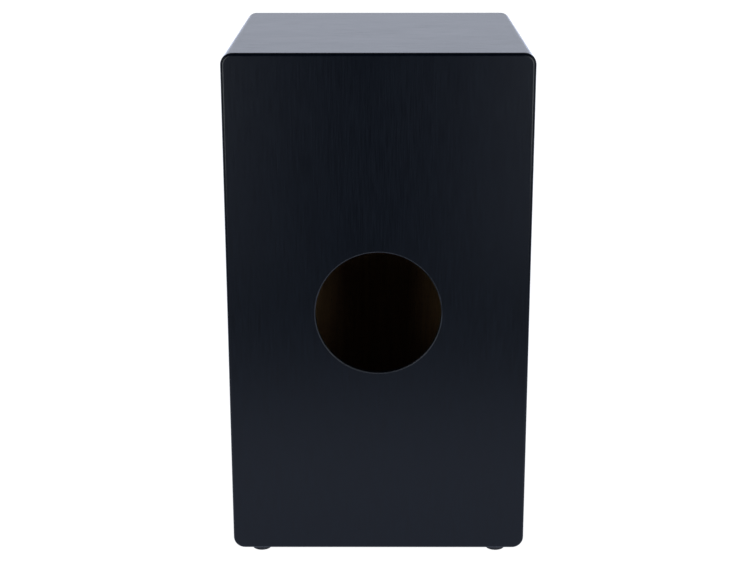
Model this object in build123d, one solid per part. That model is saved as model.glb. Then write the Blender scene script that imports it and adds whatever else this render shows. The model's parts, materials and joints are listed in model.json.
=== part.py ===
"""Cajon: a seat-high wooden box drum with a thin screwed playing plate and a round sound hole behind.

Frame, in millimetres: +Z up, the playing plate (tapa) faces -Y, the sound hole faces +Y, and the origin
is on the floor under the middle of the box. Each physical piece is its own solid, and parts/NODE.step
holds one piece or one group of like pieces.
"""

from build123d import *
import math
import os

# Overall size of the box and its feet.
WIDTH = 285.0
BODY_HEIGHT = 488.0
SHELL_DEPTH = 291.0
FOOT_HEIGHT = 10.5

# Boards of the shell, the glued rear panel and the screwed tapa.
BOARD = 12.0
REAR_THICK = 6.0
TAPA_THICK = 3.0
CORNER_RADIUS = 11.0
REAR_RIM_RADIUS = 3.0
TAPA_RIM_RADIUS = 0.8
HOLE_RADIUS = 59.3
HOLE_HEIGHT = 242.8
HOLE_OUTER_EDGE = 1.0
HOLE_INNER_EDGE = 0.5

# Triangular glue blocks along the four inner corners.
BLOCK_LEG = 20.0
BLOCK_NOSE = 2.0
BLOCK_SETBACK = 3.0

# Clearance between a screw or bolt and the hole it sits in, and what a pilot hole is longer than its screw.
SCREW_FIT = 0.05
PILOT_SPARE = 1.0
PLATE_HOLE_FIT = 0.15
BRACKET_HOLE_FIT = 0.2
HEAD_LAND = 0.3

# Tapa screws: countersunk wood screws in the middle of the boards' front edges.
TAPA_SCREW = {"head_r": 3.2, "head_h": 1.8, "shank_r": 1.5, "length": 18.0}
TAPA_SCREW_SINK = 0.15
SCREWS_ACROSS = 4
SCREWS_UP = 6
SCREW_END_ACROSS = 30.0
SCREW_END_UP = 45.0

# Rubber feet, each with a washer and a pan head wood screw.
FOOT_INSET = 26.0
FOOT_TOP_RADIUS = 11.0
FOOT_BOTTOM_RADIUS = 9.4
FOOT_EDGE_RADIUS = 1.2
FOOT_RECESS_RADIUS = 5.6
FOOT_RECESS_DEPTH = 6.0
FOOT_BORE_RADIUS = 2.2
FOOT_WASHER = {"outer_r": 5.2, "inner_r": 2.2, "thick": 1.0}
FOOT_PILOT_SHORT = 1.0
FOOT_SCREW = {"head_r": 3.7, "head_h": 2.6, "shank_r": 2.0, "length": 14.0}

# Snare bar and its pivot, which is parallel to X.
PIVOT_BEHIND_TAPA = 15.0
PIVOT_BELOW_SEAT = 33.0
BAR_DEEP = 16.0
BAR_HIGH = 22.0
BAR_EDGE = 2.0
BRACKET_FACE_X = 88.0
BRACKET_THICK = 2.0
BRACKET_WIDE = 20.0
BRACKET_DROP = 46.0
BRACKET_REACH = 32.0
BRACKET_BEND_RADIUS = 2.5
BRACKET_LEG_CORNER = 4.0
BRACKET_SCREW = {"head_r": 3.2, "head_h": 2.2, "shank_r": 1.6, "length": 10.5}
BRACKET_SCREW_SPACING = 11.0
SPACER_THICK = 0.8
WASHER_THICK = 1.2
WASHER_OUTER_RADIUS = 6.2
END_PLAY = 0.1
BOLT_RADIUS = 3.0
BOLT_IN_BAR = 25.0
BOLT_PAST_NUT = 2.5
BOLT_CHAMFER = 1.0
BOLT_POINT = 4.0
BOLT_POINT_RADIUS = 0.5
RUNNING_FIT = 0.08

# Wing nut.
NUT_HIGH = 7.0
NUT_BASE_RADIUS = 6.0
NUT_TOP_RADIUS = 5.0
WING_ROOT = 4.0
WING_ROOT_LOW = 1.5
WING_ROOT_RISE = 0.5
WING_TIP_OUT = 10.5
WING_TIP_IN = 9.0
WING_TIP_LOW = 5.5
WING_TIP_RADIUS = 4.1
WING_WAIST = 5.6
WING_TOP = 13.0
WING_THICK = 2.2
WING_TIP_EDGE = 0.5

# Snare wires: two carpets of coiled strands, each between a screwed plate and a free end plate.
STRANDS = 10
STRAND_RADIUS = 1.1
STRAND_SPACING = 3.2
STRAND_LENGTH = 128.0
SNARE_X = 44.0
SNARE_SPLAY = 6.0
SNARE_GAP = 0.4
PLATE_THICK = 1.0
PLATE_HIGH = 20.0
PLATE_MARGIN = 3.0
PLATE_BELOW_BAR = 0.5
STRIP_CORNER = 1.5
END_PLATE_HIGH = 8.0
PLATE_SCREW = {"head_r": 2.5, "head_h": 1.6, "shank_r": 1.25, "length": 9.0}
PLATE_SCREW_X = 12.0
PLATE_SCREW_UP = 4.0

# Places that follow from the sizes above.
BASE_Z = FOOT_HEIGHT
SEAT_Z = FOOT_HEIGHT + BODY_HEIGHT
MIDDLE_Z = (BASE_Z + SEAT_Z) / 2
HOLE_Z = BASE_Z + HOLE_HEIGHT
DEPTH = TAPA_THICK + SHELL_DEPTH + REAR_THICK
FRONT_Y = -DEPTH / 2
SHELL_FRONT_Y = FRONT_Y + TAPA_THICK
SHELL_REAR_Y = SHELL_FRONT_Y + SHELL_DEPTH
INNER_X = WIDTH / 2 - BOARD
INNER_TOP_Z = SEAT_Z - BOARD
INNER_BASE_Z = BASE_Z + BOARD
PIVOT_Y = SHELL_FRONT_Y + PIVOT_BEHIND_TAPA
PIVOT_Z = SEAT_Z - PIVOT_BELOW_SEAT
BAR_HALF = BRACKET_FACE_X - SPACER_THICK - END_PLAY
NUT_X = BRACKET_FACE_X + BRACKET_THICK + WASHER_THICK + END_PLAY
CARPET_WIDE = (STRANDS - 1) * STRAND_SPACING + 2 * STRAND_RADIUS
PLATE_WIDE = CARPET_WIDE + 2 * PLATE_MARGIN


def spread(count, half):
    """count places evenly spaced from -half to +half."""
    return [-half + 2 * half * i / (count - 1) for i in range(count)]


def rod(radius, start, end):
    """Cylinder between two points that differ along one axis only."""
    start, end = Vector(start), Vector(end)
    axis = Plane(origin=start, z_dir=end - start)
    return extrude(axis * Circle(radius), (end - start).length)


def ring(outer, inner, thick):
    """Flat washer standing on the XY plane."""
    return extrude(Circle(outer) - Circle(inner), thick)


def cross_recess(width, slot, depth):
    """Cutter for a cross recess whose mouth is at Z 0."""
    arm = Pos(0, 0, -depth / 2) * Box(width, slot, depth)
    return arm + Rot(0, 0, 90) * arm


def turned(points):
    """Solid of revolution about Z of a closed outline of (radius, height) points."""
    return revolve(make_face(Plane.XZ * Polyline(*points, close=True)), Axis.Z)


def countersunk_screw(head_r, head_h, shank_r, length):
    """Countersunk wood screw with its flat head at Z 0 and its point at Z -length."""
    tip = 2.0 * shank_r
    head = [(0, 0), (head_r, 0), (head_r, -HEAD_LAND), (shank_r, -head_h)]
    point = [(shank_r, tip - length), (0, -length)]
    body = turned(head + point)
    return body - cross_recess(1.1 * head_r, 0.32 * head_r, 0.75 * head_h)


def pan_screw(head_r, head_h, shank_r, length):
    """Pan head wood screw with the underside of its head at Z 0 and its point at Z -length."""
    tip = 2.0 * shank_r
    head = extrude(Circle(head_r), head_h)
    head = fillet(head.edges().group_by(Axis.Z)[-1], 0.6 * head_h)
    shank = turned([(0, 0.1), (shank_r, 0.1), (shank_r, tip - length), (0, -length)])
    return head + shank - Pos(0, 0, head_h) * cross_recess(1.1 * head_r, 0.3 * head_r, 0.6 * head_h)


def box_outline():
    """The box's outline in the XZ plane, with its rounded corners."""
    return Plane.XZ * Pos(0, MIDDLE_Z) * RectangleRounded(WIDTH, BODY_HEIGHT, CORNER_RADIUS)


def along_depth(face, y_start, y_end):
    """Extrudes a face of the XZ plane from y_start to y_end."""
    return Pos(0, y_start, 0) * extrude(face, y_end - y_start, dir=(0, 1, 0))


def tapa_screw_places():
    """(x, z, board) of each tapa screw: rows along the top and bottom boards, columns up the sides."""
    edge = BOARD / 2
    places = []
    for x in spread(SCREWS_ACROSS, WIDTH / 2 - SCREW_END_ACROSS):
        places += [(x, SEAT_Z - edge, "top_board"), (x, BASE_Z + edge, "bottom_board")]
    for z in spread(SCREWS_UP, BODY_HEIGHT / 2 - SCREW_END_UP):
        places += [
            (-WIDTH / 2 + edge, MIDDLE_Z + z, "left_side"),
            (WIDTH / 2 - edge, MIDDLE_Z + z, "right_side"),
        ]
    return places


def foot_places():
    """(name, x, y) of the four feet."""
    x = WIDTH / 2 - FOOT_INSET
    y = DEPTH / 2 - FOOT_INSET
    return [
        ("foot_front_left", -x, -y),
        ("foot_front_right", x, -y),
        ("foot_rear_left", -x, y),
        ("foot_rear_right", x, y),
    ]


def bracket_screw_places():
    """(x, y) of the screws that hold the two brackets under the seat."""
    x = BRACKET_FACE_X + BRACKET_THICK - BRACKET_REACH / 2 - BRACKET_BEND_RADIUS
    half = BRACKET_SCREW_SPACING / 2
    return [(sign * (x + step), PIVOT_Y) for sign in (-1, 1) for step in (-half, half)]


def shell_boards():
    """The four boards of the shell, mitred at 45 degrees, with pilot holes for every screw in them."""
    opening = Rectangle(WIDTH - 2 * BOARD, BODY_HEIGHT - 2 * BOARD)
    ring_face = box_outline() - Plane.XZ * Pos(0, MIDDLE_Z) * opening
    shell = along_depth(ring_face, SHELL_FRONT_Y, SHELL_REAR_Y)
    x = WIDTH / 2
    reach = 2 * BOARD
    wedges = {
        "top_board": [(-x, SEAT_Z), (x, SEAT_Z), (x - reach, SEAT_Z - reach), (reach - x, SEAT_Z - reach)],
        "bottom_board": [(-x, BASE_Z), (x, BASE_Z), (x - reach, BASE_Z + reach), (reach - x, BASE_Z + reach)],
        "left_side": [(-x, BASE_Z), (-x, SEAT_Z), (reach - x, SEAT_Z - reach), (reach - x, BASE_Z + reach)],
        "right_side": [(x, BASE_Z), (x, SEAT_Z), (x - reach, SEAT_Z - reach), (x - reach, BASE_Z + reach)],
    }
    boards = {}
    for name, corners in wedges.items():
        wedge = make_face(Plane.XZ * Polyline(*corners, close=True))
        boards[name] = shell & along_depth(wedge, SHELL_FRONT_Y, SHELL_REAR_Y)
    pilot_r = TAPA_SCREW["shank_r"] + SCREW_FIT
    pilot_end = FRONT_Y + TAPA_SCREW["length"] + PILOT_SPARE
    for px, pz, board in tapa_screw_places():
        boards[board] -= rod(pilot_r, (px, SHELL_FRONT_Y, pz), (px, pilot_end, pz))
    foot_r = FOOT_SCREW["shank_r"] + SCREW_FIT
    for _, fx, fy in foot_places():
        boards["bottom_board"] -= rod(foot_r, (fx, fy, BASE_Z), (fx, fy, BASE_Z + BOARD - FOOT_PILOT_SHORT))
    bracket_r = BRACKET_SCREW["shank_r"] + SCREW_FIT
    bracket_pilot_end = INNER_TOP_Z - BRACKET_THICK + BRACKET_SCREW["length"] + PILOT_SPARE
    for bx, by in bracket_screw_places():
        boards["top_board"] -= rod(bracket_r, (bx, by, INNER_TOP_Z), (bx, by, bracket_pilot_end))
    return boards


def corner_blocks():
    """Triangular glue blocks in the four inner corners, short of the tapa so that its corners can slap."""
    outline = [(0, 0), (BLOCK_LEG, 0), (BLOCK_LEG, BLOCK_NOSE), (BLOCK_NOSE, BLOCK_LEG), (0, BLOCK_LEG)]
    corners = {
        "corner_block_top_left": (-1, 1),
        "corner_block_top_right": (1, 1),
        "corner_block_bottom_left": (-1, -1),
        "corner_block_bottom_right": (1, -1),
    }
    blocks = {}
    for name, (side, level) in corners.items():
        z = INNER_TOP_Z if level > 0 else INNER_BASE_Z
        points = [(side * (INNER_X - a), z - level * b) for a, b in outline]
        face = make_face(Plane.XZ * Polyline(*points, close=True))
        blocks[name] = along_depth(face, SHELL_FRONT_Y + BLOCK_SETBACK, SHELL_REAR_Y)
    return blocks


def rear_panel():
    """Plywood panel glued over the shell's rear edges, with a rounded rim and the sound hole."""
    panel = along_depth(box_outline(), SHELL_REAR_Y, DEPTH / 2)
    panel = fillet(panel.faces().sort_by(Axis.Y)[-1].edges(), REAR_RIM_RADIUS)
    panel -= rod(HOLE_RADIUS, (0, SHELL_REAR_Y, HOLE_Z), (0, DEPTH / 2, HOLE_Z))
    rims = panel.edges().filter_by(GeomType.CIRCLE).filter_by(lambda e: abs(e.radius - HOLE_RADIUS) < 1e-6)
    panel = fillet(rims.sort_by(Axis.Y)[-1], HOLE_OUTER_EDGE)
    rims = panel.edges().filter_by(GeomType.CIRCLE).filter_by(lambda e: abs(e.radius - HOLE_RADIUS) < 1e-6)
    return chamfer(rims.sort_by(Axis.Y)[0], HOLE_INNER_EDGE)


def tapa():
    """The thin playing plate, with countersunk screw holes round its edge."""
    plate = along_depth(box_outline(), FRONT_Y, SHELL_FRONT_Y)
    plate = fillet(plate.faces().sort_by(Axis.Y)[0].edges(), TAPA_RIM_RADIUS)
    head_r = TAPA_SCREW["head_r"] + SCREW_FIT
    hole_r = TAPA_SCREW["shank_r"] + SCREW_FIT
    land_z = -TAPA_SCREW_SINK - HEAD_LAND
    cone_z = -TAPA_SCREW_SINK - TAPA_SCREW["head_h"]
    past = 0.1
    through = -TAPA_THICK - past
    mouth = [(0, past), (head_r, past), (head_r, land_z), (hole_r, cone_z)]
    cutter = turned(mouth + [(hole_r, through), (0, through)])
    for x, z, _ in tapa_screw_places():
        plate -= Pos(x, FRONT_Y, z) * Rot(90, 0, 0) * cutter
    return plate


def tapa_screws():
    """All tapa screws as one group of separate solids, heads just below the tapa's face."""
    screw = countersunk_screw(**TAPA_SCREW)
    y = FRONT_Y + TAPA_SCREW_SINK
    return [Pos(x, y, z) * Rot(90, 0, 0) * screw for x, z, _ in tapa_screw_places()]


def foot():
    """Tapered rubber foot standing on the XY plane, with a recess for its washer and screw head."""
    body = turned([(0, 0), (FOOT_BOTTOM_RADIUS, 0), (FOOT_TOP_RADIUS, FOOT_HEIGHT), (0, FOOT_HEIGHT)])
    body = fillet(body.edges().group_by(Axis.Z)[0], FOOT_EDGE_RADIUS)
    body -= rod(FOOT_RECESS_RADIUS, (0, 0, 0), (0, 0, FOOT_RECESS_DEPTH))
    return body - rod(FOOT_BORE_RADIUS, (0, 0, 0), (0, 0, FOOT_HEIGHT))


def foot_hardware():
    """The feet's washers and screws, one group each, pushed up into the feet from below."""
    washer = ring(FOOT_WASHER["outer_r"], FOOT_WASHER["inner_r"], FOOT_WASHER["thick"])
    washer_z = FOOT_RECESS_DEPTH - FOOT_WASHER["thick"]
    screw = Rot(180, 0, 0) * pan_screw(**FOOT_SCREW)
    washers = [Pos(x, y, washer_z) * washer for _, x, y in foot_places()]
    screws = [Pos(x, y, washer_z) * screw for _, x, y in foot_places()]
    return washers, screws


def bracket(side):
    """Steel angle: one leg screwed under the seat, the other hanging down with the pivot hole."""
    inner = BRACKET_FACE_X
    outer = inner + BRACKET_THICK
    top = INNER_TOP_Z
    low = top - BRACKET_DROP
    points = [
        (outer, low),
        (outer, top),
        (outer - BRACKET_REACH, top),
        (outer - BRACKET_REACH, top - BRACKET_THICK),
        (inner, top - BRACKET_THICK),
        (inner, low),
    ]
    face = make_face(Plane.XZ * Polyline(*points, close=True))
    angle = along_depth(face, PIVOT_Y - BRACKET_WIDE / 2, PIVOT_Y + BRACKET_WIDE / 2)
    bends = angle.edges().filter_by(Axis.Y)
    outside_bend = bends.filter_by_position(Axis.X, outer - 0.1, outer + 0.1).sort_by(Axis.Z)[-1]
    angle = fillet(outside_bend, BRACKET_BEND_RADIUS)
    bends = angle.edges().filter_by(Axis.Y)
    inside_bend = bends.filter_by_position(Axis.X, inner - 0.1, inner + 0.1).sort_by(Axis.Z)[-1]
    angle = fillet(inside_bend, BRACKET_BEND_RADIUS - BRACKET_THICK)
    foot_corners = angle.edges().filter_by(Axis.X).group_by(Axis.Z)[0]
    angle = fillet(foot_corners, BRACKET_WIDE / 2 - 1.0)
    leg_corners = angle.edges().filter_by(Axis.Z).group_by(Axis.X)[0]
    angle = fillet(leg_corners, BRACKET_LEG_CORNER)
    angle -= rod(BOLT_RADIUS + RUNNING_FIT, (inner, PIVOT_Y, PIVOT_Z), (outer, PIVOT_Y, PIVOT_Z))
    hole_r = BRACKET_SCREW["shank_r"] + BRACKET_HOLE_FIT
    for x, y in bracket_screw_places():
        if x > 0:
            angle -= rod(hole_r, (x, y, top - BRACKET_THICK), (x, y, top))
    return angle if side > 0 else mirror(angle, Plane.YZ)


def bracket_screws():
    """The pan head screws that hold both brackets, heads below the brackets' upper legs."""
    screw = Rot(180, 0, 0) * pan_screw(**BRACKET_SCREW)
    return [Pos(x, y, INNER_TOP_Z - BRACKET_THICK) * screw for x, y in bracket_screw_places()]


def on_pivot(shape, x):
    """Puts a shape made along +Z on the pivot axis at x, pointing outwards from the middle."""
    return Pos(x, PIVOT_Y, PIVOT_Z) * Rot(0, 90 if x > 0 else -90, 0) * shape


def pivot_washers():
    """Spacers between the bar and the brackets, and washers under the wing nuts."""
    hole_r = BOLT_RADIUS + RUNNING_FIT
    spacer = ring(WASHER_OUTER_RADIUS, hole_r, SPACER_THICK)
    washer = ring(WASHER_OUTER_RADIUS, hole_r, WASHER_THICK)
    outside = BRACKET_FACE_X + BRACKET_THICK
    return (
        [on_pivot(spacer, sign * (BRACKET_FACE_X - SPACER_THICK)) for sign in (-1, 1)],
        [on_pivot(washer, sign * outside) for sign in (-1, 1)],
    )


def wing_nut():
    """Wing nut standing on the XY plane, with a plain bore on its threads' crests."""
    hub = turned([(0, 0), (NUT_BASE_RADIUS, 0), (NUT_TOP_RADIUS, NUT_HIGH), (0, NUT_HIGH)])
    low_tip = (WING_TIP_OUT, WING_TIP_LOW)
    high_tip = (WING_TIP_IN, WING_TOP)
    root = (WING_ROOT, WING_ROOT_LOW)
    edges = Polyline(root, (NUT_BASE_RADIUS, WING_ROOT_LOW + WING_ROOT_RISE), low_tip)
    edges += RadiusArc(low_tip, high_tip, -WING_TIP_RADIUS)
    edges += Polyline(high_tip, (WING_WAIST, NUT_HIGH), (WING_ROOT, NUT_HIGH - WING_ROOT_RISE), root)
    wing = make_face(Plane.XZ * edges)
    blade = extrude(wing, WING_THICK / 2, both=True)
    blade = fillet(blade.edges().filter_by(GeomType.CIRCLE), WING_TIP_EDGE)
    nut = hub + blade + Rot(0, 0, 180) * blade
    return nut - rod(BOLT_RADIUS + RUNNING_FIT, (0, 0, 0), (0, 0, NUT_HIGH))


def pivot_bolt():
    """Hanger bolt along +Z, screwed into the bar up to Z 0, with a chamfered free end."""
    outside = NUT_X - BAR_HALF + NUT_HIGH + BOLT_PAST_NUT
    point = [(0, -BOLT_IN_BAR), (BOLT_POINT_RADIUS, -BOLT_IN_BAR), (BOLT_RADIUS, BOLT_POINT - BOLT_IN_BAR)]
    end = [(BOLT_RADIUS, outside - BOLT_CHAMFER), (BOLT_RADIUS - BOLT_CHAMFER, outside), (0, outside)]
    return turned(point + end)


def snare_bar():
    """Beech bar between the brackets, bored at both ends for the hanger bolts."""
    bar = Pos(0, PIVOT_Y, PIVOT_Z) * Box(2 * BAR_HALF, BAR_DEEP, BAR_HIGH)
    bar = chamfer(bar.edges().filter_by(Axis.X), BAR_EDGE)
    bore_r = BOLT_RADIUS + SCREW_FIT
    for sign in (-1, 1):
        start = (sign * (BAR_HALF - BOLT_IN_BAR - PILOT_SPARE), PIVOT_Y, PIVOT_Z)
        bar -= rod(bore_r, start, (sign * BAR_HALF, PIVOT_Y, PIVOT_Z))
    front = PIVOT_Y - BAR_DEEP / 2
    pilot_r = PLATE_SCREW["shank_r"] + SCREW_FIT
    for side in (-1, 1):
        for place in plate_screw_places():
            point = carpet_place(side) * place
            x, z = point.position.X, point.position.Z
            bar -= rod(pilot_r, (x, front, z), (x, front + PLATE_SCREW["length"], z))
    return bar


def carpet_place(side):
    """A snare carpet's own frame: the middle of its plate's lower edge, on the bar's front face."""
    splay = math.radians(SNARE_SPLAY)
    lower_edge = PIVOT_Z - BAR_HIGH / 2 - math.sin(splay) * PLATE_WIDE / 2 - PLATE_BELOW_BAR
    front = PIVOT_Y - BAR_DEEP / 2
    return Pos(side * SNARE_X, front, lower_edge) * Rot(0, -side * SNARE_SPLAY, 0)


def plate_screw_places():
    """Places of a carpet's two plate screws in the carpet's own frame."""
    z = PLATE_HIGH / 2 + PLATE_SCREW_UP
    return [Pos(x, 0, z) for x in (-PLATE_SCREW_X, PLATE_SCREW_X)]


def steel_strip(wide, high, z):
    """Flat strip against Y 0 of a carpet's frame, from z upwards, with rounded corners."""
    strip = Pos(0, -PLATE_THICK / 2, z + high / 2) * Box(wide, PLATE_THICK, high)
    return fillet(strip.edges().filter_by(Axis.Y), STRIP_CORNER)


def carpet(side):
    """One snare carpet on the bar: its screwed plate, its strands, its end plate and its screws."""
    place = carpet_place(side)
    plate = steel_strip(PLATE_WIDE, PLATE_HIGH, 0)
    hole_r = PLATE_SCREW["shank_r"] + PLATE_HOLE_FIT
    for spot in plate_screw_places():
        plate -= spot * rod(hole_r, (0, -PLATE_THICK, 0), (0, 0, 0))
    half = (STRANDS - 1) * STRAND_SPACING / 2
    middle = -PLATE_THICK / 2
    strands = [rod(STRAND_RADIUS, (x, middle, 0), (x, middle, -STRAND_LENGTH)) for x in spread(STRANDS, half)]
    end_plate = steel_strip(PLATE_WIDE, END_PLATE_HIGH, -STRAND_LENGTH - END_PLATE_HIGH)
    screw = Pos(0, -PLATE_THICK, 0) * Rot(90, 0, 0) * pan_screw(**PLATE_SCREW)
    screws = [spot * screw for spot in plate_screw_places()]
    return place * plate, [place * s for s in strands], place * end_plate, [place * s for s in screws]


def press_angle():
    """How far the bar is tilted at rest so that the strands lie just clear of the tapa."""
    front_of_strands = PIVOT_Y - BAR_DEEP / 2 - PLATE_THICK / 2 - STRAND_RADIUS
    gap = front_of_strands - SHELL_FRONT_Y - SNARE_GAP
    splay = math.radians(SNARE_SPLAY)
    lower_edge = carpet_place(1).position.Z
    reach = PIVOT_Z - lower_edge + (STRAND_LENGTH + END_PLATE_HIGH) * math.cos(splay)
    reach += math.sin(splay) * PLATE_WIDE / 2
    return math.degrees(math.asin(gap / reach))


def tilted(shape):
    """Turns a piece of the snare assembly about the pivot by the press angle, towards the tapa."""
    axis = Axis((0, PIVOT_Y, PIVOT_Z), (1, 0, 0))
    return shape.rotate(axis, -press_angle())


def snare_assembly():
    """Everything that turns with the snare bar, at its playing position."""
    names = {-1: "left", 1: "right"}
    nodes = {"snare_bar": snare_bar()}
    screws = []
    for side, name in names.items():
        plate, strands, end_plate, plate_screws = carpet(side)
        nodes[f"snare_plate_{name}"] = plate
        nodes[f"snare_wires_{name}"] = strands
        nodes[f"snare_end_plate_{name}"] = end_plate
        nodes[f"pivot_bolt_{name}"] = on_pivot(pivot_bolt(), side * BAR_HALF)
        screws += plate_screws
    nodes["snare_plate_screws"] = screws
    return {
        name: [tilted(s) for s in shape] if isinstance(shape, list) else tilted(shape)
        for name, shape in nodes.items()
    }


def build():
    """Every node of the cajon by name, as one solid or a list of solids."""
    nodes = {**shell_boards(), **corner_blocks(), "rear_panel": rear_panel(), "tapa": tapa()}
    nodes["tapa_screws"] = tapa_screws()
    for name, x, y in foot_places():
        nodes[name] = Pos(x, y, 0) * foot()
    nodes["foot_washers"], nodes["foot_screws"] = foot_hardware()
    nodes["bracket_left"], nodes["bracket_right"] = bracket(-1), bracket(1)
    nodes["bracket_screws"] = bracket_screws()
    nodes["pivot_spacers"], nodes["pivot_washers"] = pivot_washers()
    nodes["wing_nut_left"] = on_pivot(wing_nut(), -NUT_X)
    nodes["wing_nut_right"] = on_pivot(wing_nut(), NUT_X)
    nodes.update(snare_assembly())
    return nodes


os.makedirs("parts", exist_ok=True)
for node, shape in build().items():
    solids = shape if isinstance(shape, list) else [shape]
    whole = Compound(children=[s.solid() for s in solids]) if len(solids) > 1 else solids[0].solid()
    export_step(whole, f"parts/{node}.step")
print("press angle", round(press_angle(), 3), "pivot", PIVOT_Y, PIVOT_Z)
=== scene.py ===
import json
import math

import bpy
import numpy as np
from mathutils import Matrix, Vector


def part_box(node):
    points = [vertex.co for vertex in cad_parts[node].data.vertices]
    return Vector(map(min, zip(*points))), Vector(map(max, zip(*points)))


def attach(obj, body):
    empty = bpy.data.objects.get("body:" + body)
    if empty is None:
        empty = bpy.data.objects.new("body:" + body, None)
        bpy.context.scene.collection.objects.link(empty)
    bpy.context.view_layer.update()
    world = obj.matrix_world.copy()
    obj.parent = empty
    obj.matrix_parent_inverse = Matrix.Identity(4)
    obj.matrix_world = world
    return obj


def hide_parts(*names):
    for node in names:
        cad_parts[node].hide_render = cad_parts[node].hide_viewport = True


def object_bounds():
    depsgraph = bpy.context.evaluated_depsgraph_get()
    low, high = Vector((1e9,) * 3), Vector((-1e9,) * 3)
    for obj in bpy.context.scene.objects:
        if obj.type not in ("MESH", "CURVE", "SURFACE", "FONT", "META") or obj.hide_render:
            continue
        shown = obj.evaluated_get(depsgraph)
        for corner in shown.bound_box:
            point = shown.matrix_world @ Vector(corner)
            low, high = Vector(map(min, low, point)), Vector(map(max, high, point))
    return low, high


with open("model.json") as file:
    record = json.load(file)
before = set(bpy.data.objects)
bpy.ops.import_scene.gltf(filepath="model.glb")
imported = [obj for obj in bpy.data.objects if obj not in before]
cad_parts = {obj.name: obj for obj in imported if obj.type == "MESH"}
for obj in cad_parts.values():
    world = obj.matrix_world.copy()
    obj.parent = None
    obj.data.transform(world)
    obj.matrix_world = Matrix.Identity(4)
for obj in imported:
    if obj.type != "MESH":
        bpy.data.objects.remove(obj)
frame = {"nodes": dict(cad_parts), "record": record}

cad_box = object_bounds()
nodes = frame["nodes"]
MM = 0.001

# ---------------------------------------------------------------- places read from the frame
BOX_HIGH = cad_box[1]
SHELL_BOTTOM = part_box("tapa")[0].z
SHELL_MIDDLE = (SHELL_BOTTOM + BOX_HIGH.z) / 2
OPENINGS = {opening["name"]: opening["box_m"] for opening in frame["record"]["physics"]["openings"]}
HOLE_CENTRE = sum((Vector(corner) for corner in OPENINGS["sound_hole"]), Vector()) / 2

# ---------------------------------------------------------------- camera
# Place in metres, angles in radians, lens and sensor in millimetres.
CAMERA_PLACE = Vector((-0.0018, 1.5474, 0.7015))
CAMERA_PITCH_DOWN = 0.28983
CAMERA_YAW = 0.00352
CAMERA_ROLL = -0.00101
CAMERA_LENS = 74.815
SENSOR_WIDTH = 36.0
CLIP_END = 50.0


def make_camera():
    """The camera behind the drum, looking along -Y and down."""
    cp, sp = math.cos(CAMERA_PITCH_DOWN), math.sin(CAMERA_PITCH_DOWN)
    cy, sy = math.cos(CAMERA_YAW), math.sin(CAMERA_YAW)
    cr, sr = math.cos(CAMERA_ROLL), math.sin(CAMERA_ROLL)
    forward = Vector((sy * cp, -cy * cp, -sp))
    right = Vector((-cy, -sy, 0.0))
    up = Vector((sy * sp, -cy * sp, cp))
    x, y, z = right * cr + up * sr, up * cr - right * sr, -forward
    data = bpy.data.cameras.new("camera")
    data.lens = CAMERA_LENS
    data.sensor_width = SENSOR_WIDTH
    data.clip_end = CLIP_END
    camera = bpy.data.objects.new("camera", data)
    bpy.context.scene.collection.objects.link(camera)
    turn = Matrix((x, y, z)).transposed().to_4x4()
    camera.matrix_world = Matrix.Translation(CAMERA_PLACE) @ turn
    bpy.context.scene.camera = camera


# ---------------------------------------------------------------- node building
def add(tree, kind, inputs=None, **settings):
    """Adds a shader node, links or sets its inputs, and returns it."""
    made = tree.nodes.new(kind)
    for key, value in settings.items():
        setattr(made, key, value)
    for key, value in (inputs or {}).items():
        if isinstance(value, bpy.types.NodeSocket):
            tree.links.new(value, made.inputs[key])
        else:
            made.inputs[key].default_value = value
    return made


def new_material(name, **constants):
    """A material with one Principled shader, some of its sockets set to constants."""
    material = bpy.data.materials.new(name)
    material.use_nodes = True
    tree = material.node_tree
    shader = next(n for n in tree.nodes if n.type == "BSDF_PRINCIPLED")
    for key, value in constants.items():
        shader.inputs[key.replace("_", " ")].default_value = value
    return material, tree, shader


def stretched(tree, cell, offset):
    """Object coordinates counted in cells of the given size in metres."""
    place = add(tree, "ShaderNodeTexCoord").outputs["Object"]
    scale = tuple(1.0 / c for c in cell)
    return add(tree, "ShaderNodeMapping", {"Vector": place, "Scale": scale, "Location": offset}).outputs[0]


def noise(tree, cell, detail=2.0, rough=0.5, distortion=0.0, offset=(0.0, 0.0, 0.0)):
    """Noise from 0 to 1 whose features are about one cell in size."""
    vector = stretched(tree, cell, offset)
    inputs = {"Vector": vector, "Scale": 1.0, "Detail": detail, "Roughness": rough, "Distortion": distortion}
    return add(tree, "ShaderNodeTexNoise", inputs).outputs["Fac"]


def even(size):
    """A cell of the same size on every axis."""
    return (size, size, size)


def along(axis, across, length):
    """A cell that is long on one axis, 0, 1 or 2, and narrow on the others."""
    cell = [across] * 3
    cell[axis] = length
    return tuple(cell)


def ramp(tree, factor, low, high):
    """Stretches a factor so that low gives 0 and high gives 1."""
    inputs = {"Value": factor, "From Min": low, "From Max": high}
    return add(tree, "ShaderNodeMapRange", inputs).outputs["Result"]


def between(tree, factor, low, high):
    """A number that goes from low to high with the factor."""
    inputs = {"Value": factor, "To Min": low, "To Max": high}
    return add(tree, "ShaderNodeMapRange", inputs).outputs["Result"]


def soft_step(tree, value, start, end):
    """Goes smoothly from 0 at the start to 1 at the end."""
    inputs = {"Value": value, "From Min": start, "From Max": end}
    return add(tree, "ShaderNodeMapRange", inputs, interpolation_type="SMOOTHSTEP").outputs["Result"]


def blend(tree, factor, a, b):
    """Mixes two numbers, given as values or sockets."""
    return add(tree, "ShaderNodeMix", {0: factor, 2: a, 3: b}).outputs[0]


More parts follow.
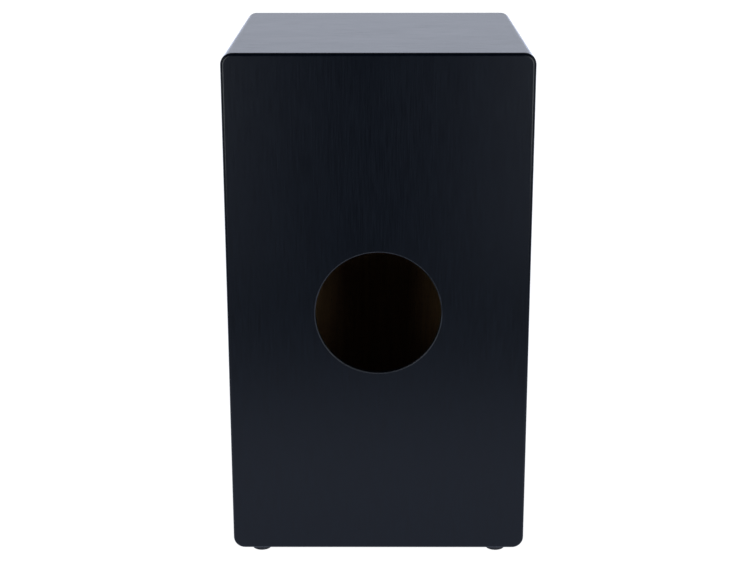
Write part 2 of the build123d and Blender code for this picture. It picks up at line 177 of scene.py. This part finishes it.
def blend_colours(tree, factor, a, b):
    """Mixes two colours, given as tuples or sockets."""
    mix = add(tree, "ShaderNodeMix", data_type="RGBA")
    tree.links.new(factor, mix.inputs[0])
    for socket, value in ((mix.inputs[6], a), (mix.inputs[7], b)):
        if isinstance(value, bpy.types.NodeSocket):
            tree.links.new(value, socket)
        else:
            socket.default_value = (*value, 1.0)
    return mix.outputs[2]


def maths(tree, operation, a, b=0.0):
    """One Math node on two numbers, given as values or sockets."""
    return add(tree, "ShaderNodeMath", {0: a, 1: b}, operation=operation).outputs[0]


def plus(tree, a, b):
    return maths(tree, "ADD", a, b)


def minus(tree, a, b):
    return maths(tree, "SUBTRACT", a, b)


def times(tree, a, b):
    return maths(tree, "MULTIPLY", a, b)


def absolute(tree, a):
    return maths(tree, "ABSOLUTE", a)


def shares(tree, a, a_share, b, b_share):
    """Adds two factors, each times its share."""
    return plus(tree, times(tree, a, a_share), times(tree, b, b_share))


def set_colour(tree, shader, colour):
    tree.links.new(colour, shader.inputs["Base Color"])


def set_roughness(tree, shader, roughness):
    tree.links.new(roughness, shader.inputs["Roughness"])


def set_bump(tree, shader, height, distance, strength):
    """Bumps the surface by the height times a distance in metres."""
    inputs = {"Height": height, "Distance": distance, "Strength": strength}
    tree.links.new(add(tree, "ShaderNodeBump", inputs).outputs[0], shader.inputs["Normal"])


# ---------------------------------------------------------------- lacquer
# Grain features are given as a width across the grain and a length along it, bumps as a distance and a
# strength, and each RANGE as the part of the noise that is stretched to all of its contrast.
LACQUER_IOR = 1.43
LACQUER_DARK, LACQUER_LIGHT = (0.0003, 0.0022, 0.0064), (0.0019, 0.0055, 0.0121)
LACQUER_FIBRES = (1.1 * MM, 26 * MM)
LACQUER_PORES = (0.5 * MM, 9 * MM)
LACQUER_FIGURE = (26 * MM, 240 * MM)
LACQUER_HAZE = 60 * MM
FIBRE_SHARE, FIGURE_SHARE = 0.85, 0.15
GRAIN_RANGE = (0.34, 0.66)
PORE_RELIEF = 0.5
LACQUER_BUMP = (0.02 * MM, 0.6)
LACQUER_ROUGHNESS = 0.18
GRAIN_ROUGHNESS = 0.06
HAZE_ROUGHNESS = 0.02
# Pale grey painted on the sound hole's outer edge: a painted highlight for the light ring round the hole.
HOLE_HIGHLIGHT_DARK, HOLE_HIGHLIGHT_LIGHT = (0.026, 0.028, 0.035), (0.062, 0.066, 0.076)
HOLE_HIGHLIGHT_PATCH = 7 * MM
HOLE_HIGHLIGHT_RANGE = (0.3, 0.7)
HOLE_HIGHLIGHT_ROUGHNESS = (0.30, 0.45)
HOLE_HIGHLIGHT_BUMP = (0.02 * MM, 0.4)


def black_lacquer(name, axis, offset):
    """Satin black lacquer over a veneer whose grain runs along one axis and still shows faintly."""
    material, tree, shader = new_material(name, IOR=LACQUER_IOR)
    fibres = noise(tree, along(axis, *LACQUER_FIBRES), rough=0.6, offset=offset)
    pores = noise(tree, along(axis, *LACQUER_PORES), offset=offset)
    figure = noise(tree, along(axis, *LACQUER_FIGURE), detail=3.0, rough=0.55, distortion=0.6, offset=offset)
    haze = noise(tree, even(LACQUER_HAZE), offset=offset)
    grain = ramp(tree, shares(tree, fibres, FIBRE_SHARE, figure, FIGURE_SHARE), *GRAIN_RANGE)
    set_colour(tree, shader, blend_colours(tree, grain, LACQUER_DARK, LACQUER_LIGHT))
    duller = between(tree, grain, 0.0, GRAIN_ROUGHNESS)
    uneven = between(tree, haze, -HAZE_ROUGHNESS, HAZE_ROUGHNESS)
    set_roughness(tree, shader, plus(tree, plus(tree, duller, uneven), LACQUER_ROUGHNESS))
    relief = plus(tree, fibres, times(tree, pores, PORE_RELIEF))
    set_bump(tree, shader, relief, *LACQUER_BUMP)
    return material


def painted_highlight_edge(name):
    """A painted highlight on an edge: pale grey lacquer in patches, standing in for the light ring round the
    sound hole.
    """
    material, tree, shader = new_material(name, IOR=LACQUER_IOR)
    # The pale patches are painted highlight.
    patches = ramp(tree, noise(tree, even(HOLE_HIGHLIGHT_PATCH), detail=4.0, rough=0.6), *HOLE_HIGHLIGHT_RANGE)
    set_colour(tree, shader, blend_colours(tree, patches, HOLE_HIGHLIGHT_DARK, HOLE_HIGHLIGHT_LIGHT))
    set_roughness(tree, shader, between(tree, patches, *HOLE_HIGHLIGHT_ROUGHNESS))
    set_bump(tree, shader, patches, *HOLE_HIGHLIGHT_BUMP)
    return material


# ---------------------------------------------------------------- bare wood
WOOD_IOR = 1.45
WOOD_FIBRES = (0.6 * MM, 22 * MM)
WOOD_PORES = (0.35 * MM, 6 * MM)
FIGURE_LENGTH = 160 * MM
VENEER_FIGURE, PINE_FIGURE, BEECH_FIGURE = 9 * MM, 5 * MM, 4 * MM
WOOD_FIBRE_SHARE, WOOD_FIGURE_SHARE = 0.4, 0.6
TONE_RANGE = (0.3, 0.7)
PORE_RANGE = (0.62, 0.72)
PORE_SHADE = 0.45
PORE_DEPTH = 0.55
WOOD_ROUGHNESS = (0.55, 0.75)
WOOD_BUMP = (0.06 * MM, 0.8)
VENEER_LIGHT, VENEER_DARK = (0.68, 0.41, 0.175), (0.48, 0.260, 0.100)
# Near-black brown for the inner faces of all boards but the tapa: painted shade that keeps the inside of the
# box dark.
INSIDE_SHADE_LIGHT, INSIDE_SHADE_DARK = (0.062, 0.034, 0.016), (0.036, 0.019, 0.009)
BEECH_LIGHT, BEECH_DARK = (0.60, 0.40, 0.24), (0.47, 0.29, 0.16)
PINE_LIGHT, PINE_DARK = (0.66, 0.46, 0.26), (0.50, 0.31, 0.15)


def bare_wood(name, axis, light, dark, figure_width, offset=(0.0, 0.0, 0.0)):
    """Unfinished wood with its grain along one axis."""
    material, tree, shader = new_material(name, IOR=WOOD_IOR)
    fibres = noise(tree, along(axis, *WOOD_FIBRES), detail=3.0, rough=0.6, offset=offset)
    figure = noise(tree, along(axis, figure_width, FIGURE_LENGTH), detail=3.0, distortion=1.2, offset=offset)
    pores = ramp(tree, noise(tree, along(axis, *WOOD_PORES), detail=1.0, offset=offset), *PORE_RANGE)
    tone = ramp(tree, shares(tree, fibres, WOOD_FIBRE_SHARE, figure, WOOD_FIGURE_SHARE), *TONE_RANGE)
    pore_colour = tuple(PORE_SHADE * c for c in dark)
    colour = blend_colours(tree, tone, dark, light)
    set_colour(tree, shader, blend_colours(tree, times(tree, pores, PORE_DEPTH), colour, pore_colour))
    set_roughness(tree, shader, between(tree, fibres, *WOOD_ROUGHNESS))
    set_bump(tree, shader, minus(tree, fibres, pores), *WOOD_BUMP)
    return material


# ---------------------------------------------------------------- rubber and metals
RUBBER_IOR = 1.5
RUBBER_CLEAN, RUBBER_DUSTY = (0.020, 0.020, 0.023), (0.050, 0.050, 0.053)
SPARK_GRIT = 0.35 * MM
DUST_PATCH = 5 * MM
DUST_RANGE = (0.4, 0.75)
DUST_DEPTH = 0.5
RUBBER_ROUGHNESS = (0.55, 0.80)
RUBBER_BUMP = (0.05 * MM, 0.7)
DRAWN_LINES = (0.08 * MM, 6 * MM)
PLATING_CLOUD = 4 * MM
LINE_SHARE, CLOUD_SHARE = 0.4, 0.6
PLATING_RANGE = (0.3, 0.7)
PLATING_BUMP = (0.01 * MM, 0.5)
PHOSPHATE, WORN_STEEL = (0.025, 0.026, 0.029), (0.12, 0.12, 0.13)
PHOSPHATE_GRAIN = 0.25 * MM
WEAR_PATCH = 1.4 * MM
WEAR_RANGE = (0.55, 0.8)
WEAR_DEPTH = 0.5
PHOSPHATE_ROUGHNESS = (0.32, 0.5)
PHOSPHATE_BUMP = (0.02 * MM, 0.5)
# Each metal has its bright and its dull colour, and its least and most roughness.
ZINC = ((0.66, 0.68, 0.71), (0.50, 0.52, 0.55), (0.22, 0.38))
BRACKET_ZINC = ((0.64, 0.66, 0.69), (0.48, 0.50, 0.53), (0.28, 0.42))
ROLLED_STRIP = ((0.74, 0.73, 0.70), (0.58, 0.57, 0.55), (0.20, 0.34))
SNARE_WIRE = ((0.78, 0.77, 0.74), (0.62, 0.61, 0.58), (0.16, 0.28))
SOLDER = ((0.70, 0.70, 0.69), (0.52, 0.52, 0.52), (0.30, 0.46))


def rubber(name):
    """Dark moulded rubber with a fine spark-eroded texture and some dust."""
    material, tree, shader = new_material(name, IOR=RUBBER_IOR)
    grit = noise(tree, even(SPARK_GRIT), detail=3.0, rough=0.6)
    dust = ramp(tree, noise(tree, even(DUST_PATCH), detail=3.0, rough=0.6), *DUST_RANGE)
    set_colour(tree, shader, blend_colours(tree, times(tree, dust, DUST_DEPTH), RUBBER_CLEAN, RUBBER_DUSTY))
    set_roughness(tree, shader, between(tree, grit, *RUBBER_ROUGHNESS))
    set_bump(tree, shader, grit, *RUBBER_BUMP)
    return material


def plated_steel(name, bright, dull, roughness, brush_axis=0):
    """Metal with fine drawn lines along one axis and a little clouding."""
    material, tree, shader = new_material(name, Metallic=1.0)
    lines = noise(tree, along(brush_axis, *DRAWN_LINES), rough=0.6)
    cloud = noise(tree, even(PLATING_CLOUD), detail=3.0, rough=0.55)
    tone = ramp(tree, shares(tree, lines, LINE_SHARE, cloud, CLOUD_SHARE), *PLATING_RANGE)
    set_colour(tree, shader, blend_colours(tree, tone, dull, bright))
    set_roughness(tree, shader, between(tree, cloud, *roughness))
    set_bump(tree, shader, lines, *PLATING_BUMP)
    return material


def black_steel(name):
    """Black phosphated steel, worn a little brighter in patches."""
    material, tree, shader = new_material(name, Metallic=1.0)
    grain = noise(tree, even(PHOSPHATE_GRAIN), detail=3.0, rough=0.6)
    wear = ramp(tree, noise(tree, even(WEAR_PATCH), detail=3.0, rough=0.6), *WEAR_RANGE)
    set_colour(tree, shader, blend_colours(tree, times(tree, wear, WEAR_DEPTH), PHOSPHATE, WORN_STEEL))
    set_roughness(tree, shader, between(tree, grain, *PHOSPHATE_ROUGHNESS))
    set_bump(tree, shader, grain, *PHOSPHATE_BUMP)
    return material


# ---------------------------------------------------------------- dressing the CAD nodes
INSIDE_SLOT, HOLE_EDGE_SLOT = 1, 2
SKIN = 4.5 * MM
ACROSS_DEPTH = 0.1
ALONG_DEPTH = 0.9
HOLE_EDGE = (0.05 * MM, 0.97 * MM)
GRAIN_AXIS = {"top_board": 0, "bottom_board": 0, "left_side": 2, "right_side": 2, "rear_panel": 2, "tapa": 2}
GRAIN_STEP = (3.1, 1.7, 2.3)


def paint(name, *materials):
    """Gives a CAD node its materials, the first one on every face."""
    data = nodes[name].data
    data.materials.clear()
    for material in materials:
        data.materials.append(material)
    data.polygons.foreach_set("material_index", [0] * len(data.polygons))


def is_inner_face(name, centre, normal):
    """True on the faces of a board that were never lacquered."""
    if name == "rear_panel":
        return normal.y < -ALONG_DEPTH
    if name == "tapa":
        return normal.y > ALONG_DEPTH
    outwards = Vector((centre.x, 0.0, centre.z - SHELL_MIDDLE))
    near_skin = (
        abs(centre.x) > BOX_HIGH.x - SKIN
        or centre.z > BOX_HIGH.z - SKIN
        or centre.z < SHELL_BOTTOM + SKIN
    )
    return not (near_skin and abs(normal.y) < ACROSS_DEPTH and normal.dot(outwards) > 0.0)


def from_hole_axis(point):
    """Distance of a point from the sound hole's axis."""
    return math.hypot(point.x - HOLE_CENTRE.x, point.z - HOLE_CENTRE.z)


def paint_the_hole_edge_highlight():
    """Paints a pale highlight on the faces that go over the sound hole's outer edge."""
    data = nodes["rear_panel"].data
    data.materials.append(painted_highlight_edge("painted_highlight_hole_edge"))
    radius = min(from_hole_axis(vertex.co) for vertex in data.vertices)
    start, end = HOLE_EDGE
    # The faces over the hole's outer edge get the painted highlight.
    for polygon in data.polygons:
        if start < from_hole_axis(polygon.center) - radius < end and polygon.normal.y > 0.0:
            polygon.material_index = HOLE_EDGE_SLOT


def dress_boards():
    """Lacquer outside and bare veneer inside on the six boards, with each one's own grain; inside all boards
    but the tapa the veneer is painted near black, as painted shade.
    """
    for i, (name, axis) in enumerate(GRAIN_AXIS.items()):
        offset = tuple(i * step for step in GRAIN_STEP)
        lacquer = black_lacquer(f"lacquer_{name}", axis, offset)
        # Every board but the tapa gets the painted shade on its inner faces.
        tones = (VENEER_LIGHT, VENEER_DARK) if name == "tapa" else (INSIDE_SHADE_LIGHT, INSIDE_SHADE_DARK)
        veneer = bare_wood(f"veneer_{name}", axis, *tones, VENEER_FIGURE, offset)
        paint(name, lacquer, veneer)
        for polygon in nodes[name].data.polygons:
            if is_inner_face(name, polygon.center, polygon.normal):
                polygon.material_index = INSIDE_SLOT
    paint_the_hole_edge_highlight()


def dress_parts():
    """Materials of the blocks, feet, screws and snare hardware."""
    pine = bare_wood("pine", 1, PINE_LIGHT, PINE_DARK, PINE_FIGURE)
    beech = bare_wood("beech", 0, BEECH_LIGHT, BEECH_DARK, BEECH_FIGURE)
    foot_rubber = rubber("foot_rubber")
    zinc = plated_steel("zinc_plate", *ZINC)
    bracket_zinc = plated_steel("bracket_zinc", *BRACKET_ZINC, brush_axis=2)
    strip = plated_steel("rolled_strip", *ROLLED_STRIP)
    screws = black_steel("black_screws")
    for name in nodes:
        if name.startswith("corner_block"):
            paint(name, pine)
        elif name == "snare_bar":
            paint(name, beech)
        elif name == "tapa_screws":
            paint(name, screws)
        elif name.startswith(("pivot_", "wing_nut")) or name.endswith(("washers", "screws")):
            paint(name, zinc)
        elif name.startswith("foot_"):
            paint(name, foot_rubber)
        elif name.startswith("bracket_"):
            paint(name, bracket_zinc)
        elif name.startswith(("snare_plate", "snare_end_plate")):
            paint(name, strip)


# ---------------------------------------------------------------- snare wires
STRANDS = 10
WIRE_RADIUS = 0.24 * MM
WIRE_CLEARANCE = 0.02 * MM
COIL_PITCH = 1.15 * MM
POINTS_PER_TURN = 10
WIRE_SIDES = 6
TAIL = 4.2 * MM
TAIL_POINTS = 4
TAIL_JOIN = 0.1
SIDEWAYS = (0.31, 0.85, 0.42)
SOLDER_MARGIN = 3.2 * MM
SOLDER_REACH = 2.4 * MM
SOLDER_RISE = 0.78 * MM
SOLDER_HIGH, SOLDER_DEEP = 3.0 * MM, 0.86 * MM
SOLDER_SIDES, SOLDER_RINGS = 14, 24
SOLDER_SQUARENESS = 14
SOLDER_RIPPLE = 0.05
SOLDER_RIPPLES = 9.0
SOLDER_TIP = 0.02
TINY = 1e-9


def rings_of_faces(rings, sides):
    """Faces of a closed tube whose vertices come ring by ring."""
    faces = []
    for i in range(rings - 1):
        for k in range(sides):
            a, b = i * sides + k, i * sides + (k + 1) % sides
            faces.append((a, b, b + sides, a + sides))
    faces.append(tuple(reversed(range(sides))))
    faces.append(tuple(range((rings - 1) * sides, rings * sides)))
    return faces


def tube(points, radius, sides):
    """Vertices and faces of a tube along a row of points, closed at both ends."""
    points = np.array(points)
    forward = np.gradient(points, axis=0)
    forward /= np.linalg.norm(forward, axis=1)[:, None]
    normal = np.cross(forward[0], SIDEWAYS)
    vertices = []
    for p, f in zip(points, forward):
        normal = normal - f * np.dot(normal, f)
        normal /= np.linalg.norm(normal)
        side = np.cross(f, normal)
        for k in range(sides):
            a = 2 * math.pi * k / sides
            vertices.append(tuple(p + radius * (math.cos(a) * normal + math.sin(a) * side)))
    return vertices, rings_of_faces(len(points), sides)


def mesh_piece(name, parts, material, smooth=True):
    """One object from several (vertices, faces) parts."""
    vertices, faces = [], []
    for part_vertices, part_faces in parts:
        start = len(vertices)
        vertices += part_vertices
        faces += [tuple(start + i for i in face) for face in part_faces]
    data = bpy.data.meshes.new(name)
    data.from_pydata(vertices, [], faces)
    data.validate()
    data.materials.append(material)
    if smooth:
        data.shade_smooth()
    piece = bpy.data.objects.new(name, data)
    bpy.context.scene.collection.objects.link(piece)
    return piece


def strand_lines(node):
    """Both ends of each strand's axis in a CAD carpet, the carpet's own axes and its strands' radius."""
    co = np.array([v.co for v in nodes[node].data.vertices])
    axes = np.linalg.svd(co - co.mean(0), full_matrices=False)[2]
    down, across = axes[0], axes[1]
    down = down if down[2] < 0 else -down
    front = np.cross(across, down)
    front = front if front[1] < 0 else -front
    reach = co @ across
    groups = np.linspace(reach.min(), reach.max(), STRANDS + 1)
    lines = []
    for low, high in zip(groups, groups[1:]):
        strand = co[(reach >= low - TINY) & (reach <= high + TINY)]
        middle = np.array([(strand @ a).max() + (strand @ a).min() for a in (down, across, front)]) / 2
        half = ((strand @ down).max() - (strand @ down).min()) / 2
        point = middle[0] * down + middle[1] * across + middle[2] * front
        lines.append((point - half * down, point + half * down))
    radius = ((co @ front).max() - (co @ front).min()) / 2
    return lines, down, across, front, radius


def coil(top, bottom, down, across, front, radius):
    """Points of one coiled strand, from a straight tail over its plate to the tail on its end plate."""
    turn_radius = radius - WIRE_RADIUS - WIRE_CLEARANCE
    length = np.linalg.norm(bottom - top)
    turns = round(length / COIL_PITCH)
    in_front = front * turn_radius
    over_plate = [top - down * (TAIL * (1 - t)) for t in np.linspace(0, 1 - TAIL_JOIN, TAIL_POINTS)]
    over_end_plate = [bottom + down * (TAIL * t) for t in np.linspace(TAIL_JOIN, 1, TAIL_POINTS)]
    points = [p + in_front for p in over_plate]
    for i in range(turns * POINTS_PER_TURN + 1):
        a = 2 * math.pi * i / POINTS_PER_TURN
        t = i / (turns * POINTS_PER_TURN)
        spot = top + (bottom - top) * t
        points.append(spot + turn_radius * (math.cos(a) * front + math.sin(a) * across))
    points += [p + in_front for p in over_end_plate]
    return points


def solder_bead(middle, across, down, front, wide):
    """A soft-edged, slightly rippled bar of solder over a row of wire tails."""
    vertices = []
    for i in range(SOLDER_RINGS + 1):
        t = 2 * i / SOLDER_RINGS - 1
        ripple = 1 + SOLDER_RIPPLE * math.sin(SOLDER_RIPPLES * t * math.pi)
        thick = max(math.sqrt(max(0.0, 1 - abs(t) ** SOLDER_SQUARENESS)) * ripple, SOLDER_TIP)
        spot = middle + across * (wide / 2 * t)
        for k in range(SOLDER_SIDES):
            a = 2 * math.pi * k / SOLDER_SIDES
            reach = down * (SOLDER_HIGH / 2 * math.cos(a)) + front * (SOLDER_DEEP / 2 * math.sin(a))
            vertices.append(tuple(spot + thick * reach))
    return vertices, rings_of_faces(SOLDER_RINGS + 1, SOLDER_SIDES)


def make_snare_wires():
    """Real coils and solder in place of the plain strands."""
    wire = plated_steel("snare_wire", *SNARE_WIRE, brush_axis=2)
    solder = plated_steel("solder", *SOLDER)
    for side in ("left", "right"):
        lines, down, across, front, radius = strand_lines(f"snare_wires_{side}")
        coils = [tube(coil(a, b, down, across, front, radius), WIRE_RADIUS, WIRE_SIDES) for a, b in lines]
        piece = mesh_piece(f"snare_coils_{side}", coils, wire)
        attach(piece, "snare")
        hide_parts(f"snare_wires_{side}")
        wide = np.linalg.norm(lines[-1][0] - lines[0][0]) + SOLDER_MARGIN
        beads = []
        for line_end, sign in ((0, -1), (1, 1)):
            middle = (lines[0][line_end] + lines[-1][line_end]) / 2
            middle = middle + sign * down * SOLDER_REACH + front * SOLDER_RISE
            beads.append(solder_bead(middle, across, down, front, wide))
        bead = mesh_piece(f"snare_solder_{side}", beads, solder)
        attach(bead, "snare")


# ---------------------------------------------------------------- floor
# Each pair is where a glow starts and where it is full, in metres. AISLE_SLOPE and ASIDE_END are bearings.
FLOOR_RADIUS = 14.0
FLOOR_SIDES = 96
FLOOR_ROUGHNESS = 0.9
FLOOR_CLOUD = 0.4
PAPER_LIGHT, PAPER_DARK = (0.25, 0.25, 0.25), (0.22, 0.22, 0.22)
CAMERA_GLOW = 1.0
WHITE = (1.0, 1.0, 1.0)
GLOW_TINT = (0.98, 1.08, 1.38)
# The bright paper under the drum, the brighter paper beyond the playing plate, and their side edges.
NEAR_EDGE = (1.02, 0.32)
NEAR_GLOW = 0.41
BACK_EDGE = (-0.15, -0.60)
BACK_GLOW = 1.15
BACK_SPREAD = 0.3
PAPER_SIDE = (0.80, 0.42)
# The far floor behind the camera: dark straight behind the drum and brighter aside, by the bearing at
# which the camera's mirror image in the rear panel sees it.
MIRRORED_CAMERA = 1.25
AISLE_START = (0.85, 1.40)
AISLE_BEARING = 0.005
AISLE_SLOPE = (0.01, 0.11)
AISLE_GLOW = 0.008
ASIDE_GLOW = 0.28
ASIDE_END = (0.40, 0.20)
ASIDE_LEAN = 1.18
LEAN_WIDTH = 0.15
# The floor at the drum's two sides.
SIDE_START = (0.40, 0.90)
SIDE_BACK = (0.35, 0.05)
SIDE_GLOW = 0.42


def paper_glow(tree, y, off_axis):
    """Light on the paper under the drum and beyond it, with edges that spread away from the camera."""
    near = times(tree, soft_step(tree, y, *NEAR_EDGE), NEAR_GLOW)
    back = times(tree, soft_step(tree, y, *BACK_EDGE), BACK_GLOW)
    behind = maths(tree, "MAXIMUM", times(tree, y, -BACK_SPREAD), 0.0)
    on_paper = soft_step(tree, minus(tree, off_axis, behind), *PAPER_SIDE)
    return times(tree, plus(tree, near, back), on_paper)


def far_glow(tree, x, y):
    """Light on the floor behind the camera, on both sides of a dark aisle."""
    bearing = maths(tree, "DIVIDE", x, plus(tree, y, MIRRORED_CAMERA))
    bearing = absolute(tree, minus(tree, bearing, AISLE_BEARING))
    aside = times(tree, ramp(tree, bearing, *AISLE_SLOPE), soft_step(tree, bearing, *ASIDE_END))
    lean = between(tree, soft_step(tree, x, LEAN_WIDTH, -LEAN_WIDTH), 1.0, ASIDE_LEAN)
    aside = times(tree, times(tree, aside, lean), ASIDE_GLOW)
    return times(tree, soft_step(tree, y, *AISLE_START), plus(tree, aside, AISLE_GLOW))


def side_glow(tree, y, off_axis):
    """Light on the floor at the drum's sides."""
    beside = times(tree, soft_step(tree, off_axis, *SIDE_START), soft_step(tree, y, *SIDE_BACK))
    return times(tree, beside, SIDE_GLOW)


def make_floor():
    """A plain pale floor, white to the camera and unevenly lit to everything else."""
    corners = [2 * math.pi * k / FLOOR_SIDES for k in range(FLOOR_SIDES)]
    rim = [(FLOOR_RADIUS * math.cos(a), FLOOR_RADIUS * math.sin(a), 0.0) for a in corners]
    faces = [(0, 1 + k, 1 + (k + 1) % FLOOR_SIDES) for k in range(FLOOR_SIDES)]
    material, tree, shader = new_material("floor_paper", Roughness=FLOOR_ROUGHNESS)
    tone = noise(tree, even(FLOOR_CLOUD))
    set_colour(tree, shader, blend_colours(tree, tone, PAPER_DARK, PAPER_LIGHT))
    place = add(tree, "ShaderNodeTexCoord").outputs["Object"]
    x, y, _ = add(tree, "ShaderNodeSeparateXYZ", {0: place}).outputs
    off_axis = absolute(tree, x)
    glow = plus(tree, paper_glow(tree, y, off_axis), far_glow(tree, x, y))
    glow = plus(tree, glow, side_glow(tree, y, off_axis))
    seen = add(tree, "ShaderNodeLightPath").outputs["Is Camera Ray"]
    tree.links.new(blend_colours(tree, seen, GLOW_TINT, WHITE), shader.inputs["Emission Color"])
    tree.links.new(blend(tree, seen, glow, CAMERA_GLOW), shader.inputs["Emission Strength"])
    floor = mesh_piece("floor", [([(0.0, 0.0, 0.0), *rim], faces)], material, smooth=False)


# ---------------------------------------------------------------- world
# Each pair is where a light starts and where it is full, as a part of a unit direction. FOOT_LIGHT is how
# bright the backdrop's foot is in its middle and at its sides.
COOL = (0.90, 0.96, 1.12)
ROOM_LIGHT = 0.03
BACKDROP_LIGHT = 0.99
BACKDROP_BEYOND = (-0.2, -0.6)
BACKDROP_SIDE = (0.60, 0.34)
BACKDROP_TOP = (0.97, 0.75)
FOOT_LIGHT = (0.55, 0.85)
FOOT_SIDE = (0.08, 0.24)
FOOT_TOP = (0.09, 0.17)
BAND_LIGHT = 0.40
BAND_SIDE = (0.30, 0.65)
BAND_BACK = (0.80, 0.45)
BAND_TOP = (0.78, 0.40)


def backdrop_light(tree, y, z, sideways):
    """The backdrop beyond the playing plate, a little darker in the middle of its foot."""
    beyond = times(tree, soft_step(tree, y, *BACKDROP_BEYOND), soft_step(tree, sideways, *BACKDROP_SIDE))
    lit = times(tree, beyond, soft_step(tree, z, *BACKDROP_TOP))
    foot = between(tree, soft_step(tree, sideways, *FOOT_SIDE), *FOOT_LIGHT)
    rise = blend(tree, soft_step(tree, z, *FOOT_TOP), foot, 1.0)
    return times(tree, lit, times(tree, rise, BACKDROP_LIGHT))


def band_light(tree, y, z, sideways):
    """A low band of light at both sides and round the front."""
    band = times(tree, soft_step(tree, sideways, *BAND_SIDE), soft_step(tree, y, *BAND_BACK))
    return times(tree, times(tree, band, soft_step(tree, z, *BAND_TOP)), BAND_LIGHT)


def make_world():
    """White to the camera. To everything else, a backdrop beyond the playing plate, a band and a dim room."""
    world = bpy.data.worlds.new("studio")
    bpy.context.scene.world = world
    world.use_nodes = True
    tree = world.node_tree
    tree.nodes.clear()
    direction = add(tree, "ShaderNodeTexCoord").outputs["Generated"]
    x, y, z = add(tree, "ShaderNodeSeparateXYZ", {0: direction}).outputs
    sideways = absolute(tree, x)
    backdrop = plus(tree, backdrop_light(tree, y, z, sideways), ROOM_LIGHT)
    strength = plus(tree, backdrop, band_light(tree, y, z, sideways))
    lit = add(tree, "ShaderNodeBackground", {"Color": (*COOL, 1.0), "Strength": strength}).outputs[0]
    white = add(tree, "ShaderNodeBackground", {"Color": (*WHITE, 1.0), "Strength": 1.0}).outputs[0]
    seen = add(tree, "ShaderNodeLightPath").outputs["Is Camera Ray"]
    mixed = add(tree, "ShaderNodeMixShader", {0: seen, 1: lit, 2: white}).outputs[0]
    add(tree, "ShaderNodeOutputWorld", {"Surface": mixed})


# ---------------------------------------------------------------- lights
SOFTBOX_ASIDE, SOFTBOX_BACK, SOFTBOX_HEIGHT = 0.60, 1.16, 0.43
SOFTBOX_WIDE, SOFTBOX_HIGH = 0.44, 0.58
SOFTBOX_TARGET = Vector((0.0, 0.15, HOLE_CENTRE.z))
SOFTBOX_POWER = {"softbox_left": 2.5, "softbox_right": 2.3}


def softbox(name, place):
    """A large soft area light that points at the sound hole."""
    data = bpy.data.lights.new(name, "AREA")
    data.shape = "RECTANGLE"
    data.size, data.size_y = SOFTBOX_WIDE, SOFTBOX_HIGH
    data.energy = SOFTBOX_POWER[name]
    data.color = tuple(min(c, 1.0) for c in COOL)
    light = bpy.data.objects.new(name, data)
    bpy.context.scene.collection.objects.link(light)
    turn = (SOFTBOX_TARGET - place).to_track_quat("-Z", "Y").to_matrix().to_4x4()
    light.matrix_world = Matrix.Translation(place) @ turn
    light.visible_camera = False


def make_lights():
    """Two softboxes behind the drum, which shine through the sound hole onto the tapa."""
    for name, side in (("softbox_left", -1), ("softbox_right", 1)):
        softbox(name, Vector((side * SOFTBOX_ASIDE, SOFTBOX_BACK, SOFTBOX_HEIGHT)))


make_camera()
dress_boards()
dress_parts()
make_snare_wires()
make_floor()
make_world()
make_lights()
bpy.context.scene.view_settings.view_transform = "Standard"
